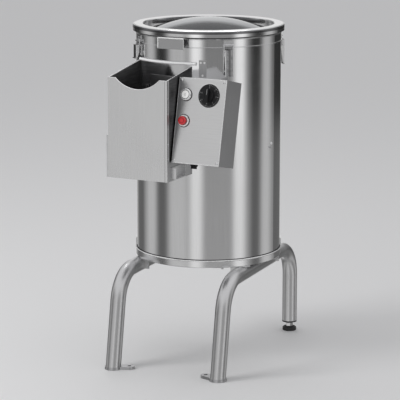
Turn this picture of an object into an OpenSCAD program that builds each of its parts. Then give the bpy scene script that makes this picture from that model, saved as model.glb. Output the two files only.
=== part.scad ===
// Floor-standing electric potato peeler. A steel drum stands on bent tube legs. It holds an
// abrasive disc driven by a belt, and carries an outlet chute, a tilted control box and a
// latched lid. The origin is on the floor in the middle of the footprint, +Z is up and the
// front with the chute and the control box faces -Y. All lengths are millimetres.

/* [Drum] */
// Outer diameter of the drum
drum_d = 400; // [396:1:402]
// Thickness of the drum's sheet
sheet = 1.5; // [1:0.5:2]
// Height of the drum's lower edge
drum_low_z = 300; // [296:1:304]
// Height of the seam under the collar
seam_z = 878; // [876:1:880]

/* [Lid] */
// Outer diameter of the lid's rim
rim_d = 418; // [414:1:430]
// Height of the top of the rim
rim_top_z = 925; // [922:1:928]
// Diameter of the see-through window
window_d = 300; // [240:2:320]
// Width of the lid handle
handle_w = 79; // [70:1:90]

/* [Legs] */
// Outer diameter of the leg tubes
tube_d = 42; // [40:1:44]
// Distance of each tube from the drum's axis
leg_x = 154; // [150:1:156]
// Height of the tubes' centre line under the drum
run_z = 257; // [255:1:257]
// Bend radius of the tubes on the centre line
bend_r = 90; // [80:1:100]
// Forward lean of the front legs, in degrees
lean = 11; // [8:1:13]
// Distance of the front feet from the axis
front_foot_y = 298; // [292:1:299]
// Distance of the rear foot from the axis
rear_foot_y = 268; // [264:1:272]

/* [Chute] */
// Left side of the chute
chute_left = -129; // [-130:1:-128]
// Right side of the chute
chute_right = 49; // [47:1:50]
// Distance of the chute's front from the axis
chute_y = 335; // [330:1:340]
// Height of the chute's front wall
chute_front_z = 807; // [800:1:812]
// Height of the chute's lower edge
chute_low_z = 538; // [536:1:542]
// Depth of the scallop in the front wall
scallop = 28; // [20:1:32]

/* [Control box] */
// Width of the control box
box_w = 139; // [136:1:142]
// Length of the front face from bottom to top
box_h = 226; // [222:1:230]
// Depth of the control box
box_t = 88; // [84:1:90]
// Backward tilt of the face, in degrees
tilt = 12.5; // [11:0.5:14]
// Diameter of the timer's dial
dial_d = 62; // [56:1:66]

/* [Drive] */
// Diameter of the peeling disc
disc_d = 368; // [360:1:370]
// Diameter of the main shaft
shaft_d = 24; // [22:1:26]
// Outer diameter of the driven pulley
big_d = 160; // [150:1:162]
// Outer diameter of the motor pulley
small_d = 56; // [50:1:58]

/* [Hidden] */

$fn = 96;

steel = [0.74, 0.74, 0.75];
pale_steel = [0.82, 0.82, 0.82];
dark_steel = [0.45, 0.46, 0.48];
grit = [0.25, 0.24, 0.23];
rubber = [0.08, 0.08, 0.08];
smoke = [0.3, 0.33, 0.36];

// Room between faces that touch but must not share volume, and between moving faces
skin = 0.02;
run = 0.05;
play = 0.3;

// The drum's axis stands this far behind the origin
leg_turn = 5;
leg_shift = -6;
axis_y = (chute_y - rear_foot_y * cos(leg_turn) - leg_x * sin(leg_turn) - tube_d / 2 - 0.25) / 2;

drum_r = drum_d / 2;
inner_r = drum_r - sheet;

// Base
band_r = drum_r + 4;
band_low_z = 279;
plate_t = 3;
saddle_y = [-125, 100];

// Chamber
floor_z = 556;
floor_t = 4;
liner_r = inner_r - 1;
liner_t = 8.5;
liner_low_z = 562;
liner_top_z = 870;
inlet_x = 70;
inlet_z = 845;
spigot_z = 590;
outlet_low_z = 575;
outlet_top_z = 785;
outlet_from = -20;
outlet_to = 5;

// Collar and lid
collar_r = drum_r + 0.5;
collar_top_z = 903;
gasket_t = 3.2;
rim_r = rim_d / 2;
skirt_low_z = 907;
well_r = 180;
well_z = 907.9;
lid_sheet = 1.5;
window_r = window_d / 2;
dome_base = window_r - 5.5;
dome_rise = 29;
dome_r = (dome_base * dome_base + dome_rise * dome_rise) / (2 * dome_rise);
hinge_y = 222;
hinge_z = 912;
knuckle_r = 6;
pin_r = 3;

// Feet
front_pad_t = 8;
rear_tube_z = 30;
stud_r = 6;
lug_reach = 44;
lug_turn = 20;

// Chute and door
wall = 2;
chute_top_z = 836;
scallop_x = -40.5;
door_in_r = drum_r + 1;
door_out_r = door_in_r + 3;
door_low_z = 560;
door_top_z = 800;
door_from = -23.7;
door_to = 8;
door_pin_x = -91;
door_pin_y = -187;
handle_x = 8;
handle_z = 690;

// Control box
box_x = 52;
box_y = -318;
box_z = 590;
button_u = 24.5;
start_v = box_h - 45;
stop_v = box_h - 114;
dial_u = 92;
dial_v = box_h - 44;
ring_r = 16;
gland_u = 45;
gland_w = 45;

// Latches: distances are from the drum's surface outward
latch_turn = [-42, 42, 132, -132];
latch_low_z = [838, 806, 806, 806];
pivot_out = 9;
pivot_z = 868;
arm = 10;
bar_out = 5;
bar_z = 887;
wire_r = 1.5;
ball_r = 1.75;
leg_side = 13;

// Drive
disc_z = 572;
disc_t = 14;
housing_low_z = 478;
bearing_r = 26;
bearing_t = 15;
pulley_z = 450;
pulley_t = 20;
motor_x = 82;
motor_y = -82;
motor_r = 62;
motor_low_z = 312;
motor_top_z = 440;
mount_z = 440.05;

// Moves what is drawn about the drum's axis so that the origin is the middle of the footprint
module shift() {
    translate([0, axis_y, 0]) children();
}

// Hollow cylinder between two heights
module pipe(r_out, r_in, z0, z1) {
    difference() {
        rod(r_out, z0, z1);
        rod(r_in, z0 - 1, z1 + 1);
    }
}

// Upright cylinder between two heights
module rod(r, z0, z1) {
    translate([0, 0, z0]) cylinder(r = r, h = z1 - z0);
}

// Volume of the drum, for cutting what sits against it
module drum_volume(r) {
    cylinder(r = r, h = 1000, $fn = 720);
}

// Turns children to an angle from the front towards the right side; +X then points outward
module at_angle(a) {
    rotate([0, 0, a - 90]) children();
}

// Part of a ring between two angles and two heights
module sector(r0, r1, from, to, z0, z1) {
    at_angle(from) translate([0, 0, z0]) rotate_extrude(angle = to - from)
        translate([r0, 0]) square([r1 - r0, z1 - z0]);
}

// Ring of round wire
module bead(r, z, wire) {
    translate([0, 0, z]) rotate_extrude() translate([r, 0]) circle(r = wire, $fn = 32);
}

// ------------------------------------------------------------- drum and chamber

module drum_shell() {
    color(steel) shift() difference() {
        pipe(drum_r, inner_r, drum_low_z, seam_z);
        sector(inner_r - 5, drum_r + 5, outlet_from, outlet_to, outlet_low_z, outlet_top_z);
        translate([inlet_x, 0, inlet_z]) rotate([-90, 0, 0]) cylinder(r = 10.6, h = drum_d);
        translate([0, 0, spigot_z]) rotate([-90, 0, 0]) cylinder(r = 25.1, h = drum_d);
    }
}

module base_band() {
    color(pale_steel) shift() {
        rotate_extrude() polygon([
            [drum_r - 9, band_low_z], [band_r - 2, band_low_z], [band_r - 1, band_low_z + 1],
            [band_r - 1, band_low_z + 17], [band_r, band_low_z + 18], [band_r, 299],
            [band_r - 1, 300], [drum_r + skin, 300], [drum_r + skin, drum_low_z - 1.5],
            [drum_r - 3, drum_low_z - 1.5], [drum_r - 3, drum_low_z - 4],
            [band_r - 3, drum_low_z - 4], [band_r - 3, band_low_z + 2], [drum_r - 9, band_low_z + 2]
        ]);
        // Small bolt heads under the band
        for (a = [38, -78, 150, -150])
            at_angle(a) translate([drum_r - 5, 0, band_low_z - 5]) cylinder(r = 4, h = 5, $fn = 6);
        // Straps at the foot of the drum
        for (a = [116, -64])
            difference() {
                at_angle(a) translate([drum_r - 5, -9, 300 + skin]) cube([8, 18, 21]);
                drum_volume(drum_r + skin);
            }
    }
}

module base_plate() {
    color(dark_steel) shift() difference() {
        rod(drum_r - 9.05, band_low_z, band_low_z + plate_t);
        // Cooling slots under the motor
        for (i = [-3 : 3])
            translate([motor_x - 4 + 14 * i, motor_y - 40, band_low_z - 1])
                cube([6, 80, plate_t + 2]);
        for (i = [-3 : 3])
            translate([-60 + 14 * i, 30, band_low_z - 1]) cube([6, 80, plate_t + 2]);
    }
}

module collar_ring() {
    color(steel) shift() rotate_extrude() polygon([
        [inner_r, seam_z + skin], [collar_r, seam_z + skin], [collar_r + 1.5, seam_z + 0.8],
        [collar_r + 1.5, seam_z + 2.2], [collar_r, seam_z + 3], [collar_r, collar_top_z - 3],
        [collar_r + 1, collar_top_z - 2], [collar_r + 1, collar_top_z - 1],
        [collar_r, collar_top_z], [190, collar_top_z], [190, collar_top_z - 1.5],
        [inner_r, collar_top_z - 1.5]
    ]);
}

module chamber_floor() {
    color(steel) shift() difference() {
        union() {
            rod(inner_r - skin, floor_z, floor_z + floor_t);
            pipe(inner_r - skin, inner_r - 3, floor_z - 20, floor_z + 1);
        }
        rod(shaft_d / 2 + 7, floor_z - 1, floor_z + floor_t + 1);
    }
}

module abrasive_liner() {
    color(grit) shift() difference() {
        pipe(liner_r, liner_r - liner_t, liner_low_z, liner_top_z);
        sector(liner_r - 15, liner_r + 5, outlet_from, outlet_to, outlet_low_z, outlet_top_z);
        // Upright grooves that turn the potatoes over
        for (a = [15 : 30 : 315])
            at_angle(a) translate([liner_r - liner_t - 0.5, 0, liner_low_z - 1])
                cylinder(r = 4, h = liner_top_z - liner_low_z + 2, $fn = 32);
        translate([inlet_x, 0, inlet_z]) rotate([-90, 0, 0]) cylinder(r = 12, h = drum_d);
        translate([0, 0, spigot_z]) rotate([-90, 0, 0]) cylinder(r = 26, h = drum_d);
    }
}

module water_inlet() {
    root_y = sqrt(drum_r * drum_r - inlet_x * inlet_x);
    color(steel) shift() translate([inlet_x, root_y, inlet_z]) rotate([-90, 0, 0]) difference() {
        union() {
            translate([0, 0, -10]) cylinder(r = 9.8, h = 33);
            translate([0, 0, 22]) cylinder(r = 10.5, h = 20);
            translate([0, 0, 8]) cylinder(r = 17, h = 10, $fn = 6);
        }
        translate([0, 0, -11]) cylinder(r = 7.5, h = 60);
    }
}

module drain_spigot() {
    color(steel) shift() translate([0, 0, spigot_z]) rotate([-90, 0, 0]) difference() {
        union() {
            translate([0, 0, inner_r - 7]) cylinder(r = 24.5, h = 23);
            translate([0, 0, inner_r + 15]) cylinder(r = 25, h = 40);
            translate([0, 0, drum_r + 2]) cylinder(r = 32, h = 3);
        }
        translate([0, 0, inner_r - 8]) cylinder(r = 23, h = 70);
    }
}

// ------------------------------------------------------------- legs

// Ring-shaped section of the tube
module tube_section() {
    difference() {
        circle(r = tube_d / 2, $fn = 64);
        circle(r = tube_d / 2 - 2, $fn = 64);
    }
}

// Thin sleeve over the joint between a bend and a straight
module joint_sleeve() {
    translate([0, 0, -1.5]) linear_extrude(3) difference() {
        circle(r = tube_d / 2 + 0.25, $fn = 64);
        circle(r = tube_d / 2 - 1, $fn = 64);
    }
}

// A bend from level to downward, then the straight leg, towards -Y from the end of the run
module bent_leg(slope, low_z) {
    turn = 90 - slope;
    end_y = -bend_r * sin(turn);
    end_z = run_z - bend_r + bend_r * cos(turn);
    translate([0, 0, run_z - bend_r]) rotate([0, -90, 0]) rotate([0, 0, -turn])
        rotate_extrude(angle = turn) translate([bend_r, 0]) tube_section();
    translate([0, end_y, end_z]) rotate([180 - slope, 0, 0]) {
        joint_sleeve();
        translate([0, 0, 2 * skin]) linear_extrude((end_z - low_z) / cos(slope) - 2 * skin)
            tube_section();
    }
}

bend_reach = bend_r * cos(lean);
bend_drop = bend_r * (1 - sin(lean));
straight_reach = (run_z - bend_drop - front_pad_t) * tan(lean);
front_run_y = -front_foot_y + bend_reach + straight_reach;
rear_run_y = rear_foot_y - bend_r;

// The leg frame stands turned against the chute
module leg_frame() {
    translate([leg_shift, 0, 0]) rotate([0, 0, leg_turn]) children();
}

// Front leg and level run, with the rear leg on the tube that has one
module leg_tube(has_rear) {
    difference() {
        union() {
            translate([0, front_run_y, 0]) bent_leg(lean, front_pad_t - 12);
            translate([0, front_run_y, run_z]) rotate([-90, 0, 0]) {
                joint_sleeve();
                translate([0, 0, 2 * skin])
                    linear_extrude(rear_run_y - front_run_y - 4 * skin) tube_section();
            }
            if (has_rear)
                translate([0, rear_run_y, run_z]) rotate([-90, 0, 0]) joint_sleeve();
            if (has_rear)
                translate([0, rear_run_y, 0]) mirror([0, 1, 0]) bent_leg(0, rear_tube_z);
        }
        translate([-60, -front_foot_y - 60, -60]) cube([120, 120, 60 + front_pad_t + skin]);
    }
}

module right_leg_tube() {
    color(pale_steel) shift() leg_frame() translate([leg_x, 0, 0]) leg_tube(true);
}

module left_leg_tube() {
    color(pale_steel) shift() leg_frame() translate([-leg_x, 0, 0]) leg_tube(false);
}

module tube_plugs() {
    color(rubber) shift() leg_frame() {
        translate([-leg_x, rear_run_y, run_z]) rotate([-90, 0, 0]) {
            translate([0, 0, skin]) cylinder(r = tube_d / 2, h = 4);
            translate([0, 0, -14]) cylinder(r = tube_d / 2 - 2 - skin, h = 15);
        }
        translate([leg_x, rear_foot_y, 0]) difference() {
            union() {
                rod(tube_d / 2, rear_tube_z - 4, rear_tube_z - skin);
                rod(tube_d / 2 - 2 - skin, rear_tube_z - 4, rear_tube_z + 22);
            }
            rod(stud_r + run, 0, 90);
        }
    }
}

// Saddles welded between the tubes and the base
module leg_saddles() {
    color(steel) shift() intersection() {
        leg_frame() for (x = [-leg_x, leg_x], y = saddle_y)
            translate([x, y, 0]) difference() {
                union() {
                    translate([-32, -2, 245]) cube([64, 4, band_low_z - 245 - 3]);
                    translate([-32, -14, band_low_z - 5]) cube([64, 28, 5 - skin]);
                }
                translate([0, -20, run_z]) rotate([-90, 0, 0])
                    cylinder(r = tube_d / 2 + skin, h = 40);
            }
        drum_volume(drum_r + 1);
    }
}

// Cap on the end of a front leg with a floor lug, for the left side
module front_foot() {
    difference() {
        union() {
            cylinder(r = 23.5, h = front_pad_t);
            rotate([0, 0, lug_turn]) {
                translate([0, -14, 0]) cube([lug_reach, 28, front_pad_t]);
                translate([lug_reach, 0, 0]) cylinder(r = 14, h = front_pad_t);
            }
        }
        rotate([0, 0, lug_turn]) translate([lug_reach, 0, -1])
            cylinder(r = 5.5, h = front_pad_t + 2);
    }
}

module front_feet() {
    color(steel) shift() leg_frame() {
        translate([-leg_x, -front_foot_y, 0]) front_foot();
        translate([leg_x, -front_foot_y, 0]) mirror([1, 0, 0]) front_foot();
    }
}

module rear_foot_stud() {
    color(steel) shift() leg_frame() translate([leg_x, rear_foot_y, 0]) {
        rod(stud_r, 9, 62);
        translate([0, 0, 13]) cylinder(r = 11, h = 8, $fn = 6);
    }
}

module rear_foot_pad() {
    color(rubber) shift() leg_frame() translate([leg_x, rear_foot_y, 0]) difference() {
        rotate_extrude() polygon([
            [0, 0], [19, 0], [20, 1.5], [20, 8], [17, 11], [9, 12], [0, 12]
        ]);
        rod(stud_r + skin, 9 - skin, 20);
    }
}

// ------------------------------------------------------------- chute and outlet

// Outline of the chute from the side, front to the left
module chute_side() {
    polygon([
        [-chute_y, chute_low_z], [0, chute_low_z], [0, chute_top_z],
        [-150, chute_top_z], [-chute_y, chute_front_z]
    ]);
}

module chute_block(x0, x1) {
    translate([x0, 0, 0]) rotate([90, 0, 90]) linear_extrude(x1 - x0) chute_side();
}

module outlet_chute() {
    half = 66;
    arc_r = (half * half + scallop * scallop) / (2 * scallop);
    color(pale_steel) shift() difference() {
        chute_block(chute_left, chute_right);
        translate([chute_left + wall, wall - chute_y, chute_low_z - 1])
            cube([chute_right - chute_left - 2 * wall, chute_y, 400]);
        drum_volume(drum_r + skin);
        translate([scallop_x, 5 - chute_y, chute_front_z - scallop + arc_r])
            rotate([90, 0, 0]) cylinder(r = arc_r, h = 10, $fn = 192);
    }
}

module chute_fittings() {
    color(pale_steel) shift() {
        // Rolled lip on the drum between the side walls
        intersection() {
            chute_block(chute_left + wall + skin, chute_right - wall - skin);
            pipe(drum_r + 6, drum_r + skin, chute_top_z - 4, chute_top_z);
        }
        // End of the lip beyond the right wall
        sector(drum_r + 6, drum_r + skin, 14.5, 17.6, chute_top_z - 4, chute_top_z);
        // Rail on the left wall
        translate([chute_left - 6, 1 - chute_y, chute_low_z]) cube([6 - skin, 60, 114]);
        // Bolted plate on the drum beside the rear corner of the right wall
        difference() {
            at_angle(22.5) union() {
                translate([drum_r - 2, -10, 800]) cube([5, 20, 46]);
                for (spot = [[-5, 840], [5, 840], [0, 806]])
                    translate([drum_r + 1, spot[0], spot[1]]) rotate([0, 90, 0])
                        cylinder(r = 3, h = 4.5, $fn = 32);
            }
            drum_volume(drum_r + skin);
        }
        // Angle bracket on the right wall, under the control box
        translate([chute_right + skin, -318, 545]) difference() {
            cube([17, 55, 30]);
            translate([2, 2, 2]) cube([20, 51, 40]);
        }
    }
}

module fixed_seals() {
    color(rubber) shift() {
        // Frame round the outlet, between the drum and the door
        difference() {
            sector(
                drum_r + skin, door_in_r - 0.2, outlet_from - 2, outlet_to + 2,
                outlet_low_z - 8, outlet_top_z + 8
            );
            sector(
                drum_r - 5, door_in_r + 5, outlet_from, outlet_to, outlet_low_z, outlet_top_z
            );
        }
        // Lip seal round the main shaft
        pipe(shaft_d / 2 + 7 - skin, shaft_d / 2 + run, floor_z + skin, floor_z + 9);
    }
}

module outlet_door() {
    color(pale_steel) shift() difference() {
        union() {
            sector(door_in_r, door_out_r, door_from, door_to, door_low_z, door_top_z);
            translate([door_pin_x, door_pin_y, 0]) rod(5.5, 602, 758);
            translate([door_pin_x, door_pin_y - 3.5, 602]) cube([16, 3, 156]);
            translate([handle_x, -door_in_r - 1, handle_z]) rotate([90, 0, 0])
                cylinder(r = 8, h = 9);
        }
        translate([door_pin_x, door_pin_y, 0]) rod(pin_r + run, 500, 900);
        translate([handle_x, -150, handle_z]) rotate([90, 0, 0]) cylinder(r = 4 + run, h = 100);
    }
}

module door_hardware() {
    color(steel) shift() {
        // Hinge pin and the lugs that carry it
        translate([door_pin_x, door_pin_y, 0]) rod(pin_r, 588, 772);
        for (z = [588, 760])
            difference() {
                translate([0, 0, z]) {
                    translate([door_pin_x, door_pin_y, 0]) cylinder(r = 6, h = 12);
                    at_angle(-26) translate([drum_r - 5, -4.5, 0]) cube([12, 9, 12]);
                }
                translate([door_pin_x, door_pin_y, 0]) rod(pin_r + skin, 0, 900);
                drum_volume(drum_r + skin);
            }
        // Strike beside the handle's nose
        difference() {
            translate([37.5, -216, handle_z - 12]) cube([6, 30, 24]);
            drum_volume(drum_r + skin);
        }
    }
}

module door_handle() {
    base_y = -door_in_r - 10.3;
    color(steel) shift() translate([handle_x, base_y, handle_z]) rotate([90, 0, 0]) {
        translate([0, 0, -7]) cylinder(r = 4, h = 12);
        cylinder(r = 9, h = 5);
        translate([0, -6, 0]) cube([23, 12, 5]);
        translate([-7, -52, 0]) cube([14, 52, 5]);
        translate([0, -46, 5 - skin]) cylinder(r = 7, h = 9);
    }
}

// ------------------------------------------------------------- control box

// Frame of the box: x across, y into the box, z up its face
module box_frame() {
    translate([box_x, box_y, box_z]) rotate([-tilt, 0, 0]) children();
}

// Frame of one place on the face, with +Z out of it
module on_face(u, v) {
    box_frame() translate([u, 0, v]) rotate([90, 0, 0]) children();
}

module control_box() {
    color(steel) shift() difference() {
        box_frame() translate([0, wall + skin, 0]) cube([box_w, box_t - wall, box_h]);
        difference() {
            box_frame() translate([1.5, 0, 1.5]) cube([box_w - 3, box_t - 1.5, box_h - 3]);
            drum_volume(drum_r + 3);
        }
        drum_volume(drum_r + 1);
        box_frame() translate([gland_u, gland_w, -5]) cylinder(r = 8.2, h = 20);
    }
}

module control_face() {
    color(pale_steel) shift() difference() {
        box_frame() cube([box_w, wall, box_h]);
        on_face(button_u, start_v) translate([0, 0, -5]) cylinder(r = 12.05, h = 10);
        on_face(button_u, stop_v) translate([0, 0, -5]) cylinder(r = 12.05, h = 10);
        on_face(dial_u, dial_v) translate([0, 0, -5]) cylinder(r = 4, h = 10);
        for (u = [7, box_w - 7], v = [7, box_h - 7])
            on_face(u, v) translate([0, 0, -5]) cylinder(r = 2.05, h = 10, $fn = 32);
    }
}

module face_screws() {
    color(steel) shift() for (u = [7, box_w - 7], v = [7, box_h - 7])
        on_face(u, v) {
            translate([0, 0, skin]) rotate_extrude($fn = 32)
                polygon([[0, 0], [3.6, 0], [3.4, 0.8], [2.2, 1.6], [0, 1.8]]);
            translate([0, 0, -10]) cylinder(r = 2, h = 10.5, $fn = 32);
        }
}

// Hollow bracket between the box's back and the drum
module box_bracket() {
    color(steel) shift() difference() {
        translate([88, -236, 640]) cube([60, 150, 62]);
        translate([90, -240, 642]) cube([56, 170, 58]);
        box_frame() translate([-50, -100, -100]) cube([400, 100 + box_t + skin, 500]);
        drum_volume(drum_r + skin);
    }
}

module cable_gland() {
    color(rubber) shift() box_frame() translate([gland_u, gland_w, 0]) difference() {
        union() {
            translate([0, 0, -4]) cylinder(r = 11, h = 4 - skin, $fn = 6);
            translate([0, 0, -11]) cylinder(r = 8, h = 8);
            translate([0, 0, -1]) cylinder(r = 8.15, h = 12);
        }
        translate([0, 0, -20]) cylinder(r = 4.5, h = 40);
    }
}

module timer_dial() {
    color(rubber) shift() on_face(dial_u, dial_v) difference() {
        translate([0, 0, skin]) rotate_extrude()
            polygon([[0, 0], [dial_d / 2, 0], [dial_d / 2, 2], [dial_d / 2 - 1, 3], [0, 3]]);
        translate([0, 0, -1]) cylinder(r = 4, h = 10);
    }
}

module timer_knob() {
    color(rubber) shift() on_face(dial_u, dial_v) translate([0, 0, 3 + play]) {
        rotate_extrude() polygon([[0, 0], [15, 0], [15, 3], [13.5, 5], [0, 5]]);
        translate([-4, -17, 4]) cube([8, 34, 10]);
        translate([0, 0, -18]) cylinder(r = 3, h = 19);
    }
}

module switchgear() {
    color(dark_steel) shift() {
        // Clockwork timer behind the dial
        on_face(dial_u, dial_v) difference() {
            translate([-24, -24, -44]) cube([48, 48, 42 - skin]);
            translate([0, 0, -18]) cylinder(r = 3 + run, h = 20);
        }
        // Contact blocks behind the buttons
        for (v = [start_v, stop_v])
            on_face(button_u, v) translate([-13, -15, -52]) cube([26, 30, 30]);
        // Contactor and terminal strip on the bottom
        box_frame() {
            translate([70, 30, 14]) cube([48, 48, 62]);
            translate([14, 58, 10]) cube([44, 24, 20]);
        }
    }
}

module button_ring(h) {
    difference() {
        union() {
            rotate_extrude() polygon([
                [0, skin], [ring_r, skin], [ring_r, h - 2], [ring_r - 1.5, h], [0, h]
            ]);
            translate([0, 0, -12]) cylinder(r = 12, h = 12.5);
        }
        translate([0, 0, -20]) cylinder(r = 10.7, h = 40);
    }
}

module button_rings() {
    color(steel) shift() {
        on_face(button_u, start_v) button_ring(7);
        on_face(button_u, stop_v) button_ring(6);
    }
}

module start_button() {
    color([0.93, 0.93, 0.92]) shift() on_face(button_u, start_v) {
        translate([0, 0, -8]) rotate_extrude()
            polygon([[0, 0], [10.4, 0], [10.4, 14.5], [9.4, 15.5], [0, 15.8]]);
        translate([0, 0, -17]) cylinder(r = 4, h = 10);
    }
}

module stop_button() {
    color([0.75, 0.08, 0.08]) shift() on_face(button_u, stop_v) {
        translate([0, 0, -17]) cylinder(r = 4, h = 10);
        translate([0, 0, -8]) cylinder(r = 10.4, h = 18);
        translate([0, 0, 9.5]) rotate_extrude()
            polygon([[0, 0], [10.6, 0], [11.4, 0.8], [11.4, 2.4], [9.8, 3.8], [6, 4.6], [0, 4.8]]);
    }
}

// ------------------------------------------------------------- lid

module lid_rim() {
    color(steel) shift() rotate_extrude() polygon([
        [window_r + 2, well_z - lid_sheet], [rim_r - lid_sheet, well_z - lid_sheet],
        [rim_r - lid_sheet, skirt_low_z - 0.6], [rim_r, skirt_low_z],
        [rim_r, rim_top_z - 5], [rim_r - 1.5, rim_top_z - 1.5], [rim_r - 5, rim_top_z],
        [well_r + 2, rim_top_z], [well_r, rim_top_z - 2], [well_r, well_z],
        [window_r + 2, well_z]
    ]);
}

module lid_seals() {
    color(rubber) shift() {
        // Grooved seal that holds the window
        rotate_extrude() polygon([
            [window_r - 5, well_z + 3.1], [window_r - 5, well_z + 5], [window_r + 6, well_z + 3],
            [window_r + 6, well_z + skin], [window_r + 2 - skin, well_z + skin],
            [window_r + 2 - skin, well_z - lid_sheet - skin],
            [window_r + 6, well_z - lid_sheet - skin],
            [window_r + 6, well_z - 3.5], [window_r - 5, well_z - 3.5],
            [window_r - 5, well_z - 0.1], [window_r + skin, well_z - 0.1],
            [window_r + skin, well_z + 3.1]
        ]);
        // Gasket on the lid's underside, over the collar
        pipe(collar_r, collar_r - 7, collar_top_z + 0.2, well_z - lid_sheet - skin);
    }
}

module lid_window() {
    // Clear dome with a flat flange
    centre_z = well_z + 3.08 + dome_rise - dome_r;
    color(smoke) shift() difference() {
        union() {
            rod(window_r, well_z - 0.08, well_z + 3.08);
            intersection() {
                translate([0, 0, centre_z]) sphere(r = dome_r, $fn = 240);
                rod(dome_base - 0.05, well_z + 1, well_z + 60);
            }
        }
        intersection() {
            translate([0, 0, centre_z]) sphere(r = dome_r - 3, $fn = 240);
            rod(dome_base - 3, well_z - 1, well_z + 60);
        }
    }
}

module lid_handle() {
    color(pale_steel) shift() difference() {
        union() {
            translate([-handle_w / 2, -224, 876]) cube([handle_w, 2, 30.3]);
            translate([-handle_w / 2, -224, 904.3]) cube([handle_w, 30, 2]);
        }
        drum_volume(203);
    }
}

module lid_hinge() {
    color(steel) shift() difference() {
        union() {
            translate([-18, rim_r - 6, hinge_z - 4]) cube([36, hinge_y - rim_r + 6, 8]);
            translate([-18, hinge_y, hinge_z]) rotate([0, 90, 0])
                cylinder(r = knuckle_r, h = 36);
        }
        drum_volume(rim_r + skin);
        translate([-30, hinge_y, hinge_z]) rotate([0, 90, 0]) cylinder(r = pin_r + run, h = 60);
    }
}

module hinge_bracket() {
    color(steel) shift() {
        for (x = [-34, 18.5])
            difference() {
                union() {
                    translate([x, hinge_y, hinge_z]) rotate([0, 90, 0])
                        cylinder(r = knuckle_r, h = 15.5);
                    translate([x, hinge_y - 5, 884]) cube([15.5, 11, hinge_z - 884]);
                    translate([x, 180, 862]) cube([15.5, hinge_y - 174, 24]);
                }
                drum_volume(collar_r + 1.5 + skin);
                translate([-50, hinge_y, hinge_z]) rotate([0, 90, 0])
                    cylinder(r = pin_r + skin, h = 100);
            }
        // Plate on the drum under the seam
        difference() {
            translate([-34, 180, 846]) cube([68, 26, 28]);
            drum_volume(drum_r + skin);
            for (x = [-34, 18.5])
                translate([x - skin, 180, 862 - skin]) cube([15.5 + 2 * skin, 60, 30]);
        }
        translate([-36, hinge_y, hinge_z]) rotate([0, 90, 0]) cylinder(r = pin_r, h = 72);
    }
}

module switch_housing() {
    color(pale_steel) shift() at_angle(-113) difference() {
        translate([drum_r - 5, -17, 846]) cube([23, 34, 50]);
        drum_volume(collar_r + 1.5 + skin);
    }
}

module switch_actuator() {
    color(pale_steel) shift() at_angle(-104) difference() {
        union() {
            translate([205, -5, 856]) cube([3, 10, 50.3]);
            translate([205, -5, 904.3]) cube([7, 10, 2]);
        }
        drum_volume(205);
    }
}

// ------------------------------------------------------------- latches

bail_len = sqrt((bar_z - pivot_z + arm) * (bar_z - pivot_z + arm)
    + (pivot_out - bar_out) * (pivot_out - bar_out));
bail_lean = atan((pivot_out - bar_out) / (bar_z - pivot_z + arm));

// Round bar across a latch
module cross_bar(out, z, r, half) {
    translate([drum_r + out, -half, z]) rotate([-90, 0, 0]) cylinder(r = r, h = 2 * half, $fn = 32);
}

module latch_bases() {
    color(steel) shift() for (i = [0:3]) at_angle(latch_turn[i]) {
        difference() {
            union() {
                translate([drum_r - 2, -13, latch_low_z[i] + 7]) cube([4, 26, 868 - latch_low_z[i]]);
                for (side = [-8.6, 7])
                    translate([drum_r, side, pivot_z]) {
                        translate([0, 0, -4]) cube([pivot_out, 1.6, 8]);
                        translate([pivot_out, 0, 0]) rotate([-90, 0, 0])
                            cylinder(r = 4.3, h = 1.6, $fn = 32);
                    }
            }
            drum_volume(drum_r + skin);
            cross_bar(pivot_out, pivot_z, wire_r + skin, 20);
        }
        cross_bar(pivot_out, pivot_z, wire_r, 11.2);
    }
}

module latch_strikes() {
    color(steel) shift() for (a = latch_turn) at_angle(a) difference() {
        union() {
            translate([drum_r - 2, -12, 882]) cube([4.5, 24, 17]);
            translate([drum_r, -9, 883.2]) cube([10.7, 18, 2]);
            translate([drum_r + 9.2, -8.8, 884]) cube([1.4, 17.6, 1.7]);
            for (side = [-6, 6])
                translate([drum_r + 1.5, side, 893.5]) rotate([0, 90, 0])
                    cylinder(r = 2.4, h = 2.1, $fn = 32);
        }
        drum_volume(collar_r + skin);
    }
}

module lever(i) {
    low_z = latch_low_z[i];
    color(pale_steel) shift() at_angle(latch_turn[i]) difference() {
        union() {
            for (side = [-10.9, 9.4])
                translate([drum_r, side + 1.5, 0]) rotate([90, 0, 0]) linear_extrude(1.5)
                    polygon([
                        [5.5, 854], [5.5, 873], [13.7, 873], [13.7, low_z + 2], [11, low_z + 2]
                    ]);
            translate([drum_r + 13.6, -10.9, low_z]) cube([1.5, 21.8, 874 - low_z]);
            // Finger tip, turned out
            translate([drum_r + 13.6, -12, low_z - 2]) cube([4, 24, 2.5]);
        }
        cross_bar(pivot_out, pivot_z, wire_r + run, 20);
        cross_bar(pivot_out, pivot_z - arm, wire_r + run, 20);
    }
}

module bail(i) {
    color(steel) shift() at_angle(latch_turn[i]) {
        for (side = [-1, 1]) {
            translate([drum_r + pivot_out, side * 11.1, pivot_z - arm]) rotate([-90, 0, 0])
                translate([0, 0, -1.9]) cylinder(r = wire_r, h = 3.8, $fn = 32);
            translate([drum_r + pivot_out, side * leg_side, pivot_z - arm]) {
                sphere(r = ball_r, $fn = 32);
                rotate([0, -bail_lean, 0]) {
                    cylinder(r = wire_r, h = bail_len, $fn = 32);
                    translate([0, 0, bail_len]) sphere(r = ball_r, $fn = 32);
                }
            }
        }
        cross_bar(bar_out, bar_z, wire_r, leg_side);
    }
}

module lever_front_left() lever(0);
module lever_front_right() lever(1);
module lever_rear_right() lever(2);
module lever_rear_left() lever(3);
module bail_front_left() bail(0);
module bail_front_right() bail(1);
module bail_rear_right() bail(2);
module bail_rear_left() bail(3);

// ------------------------------------------------------------- drive

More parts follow.
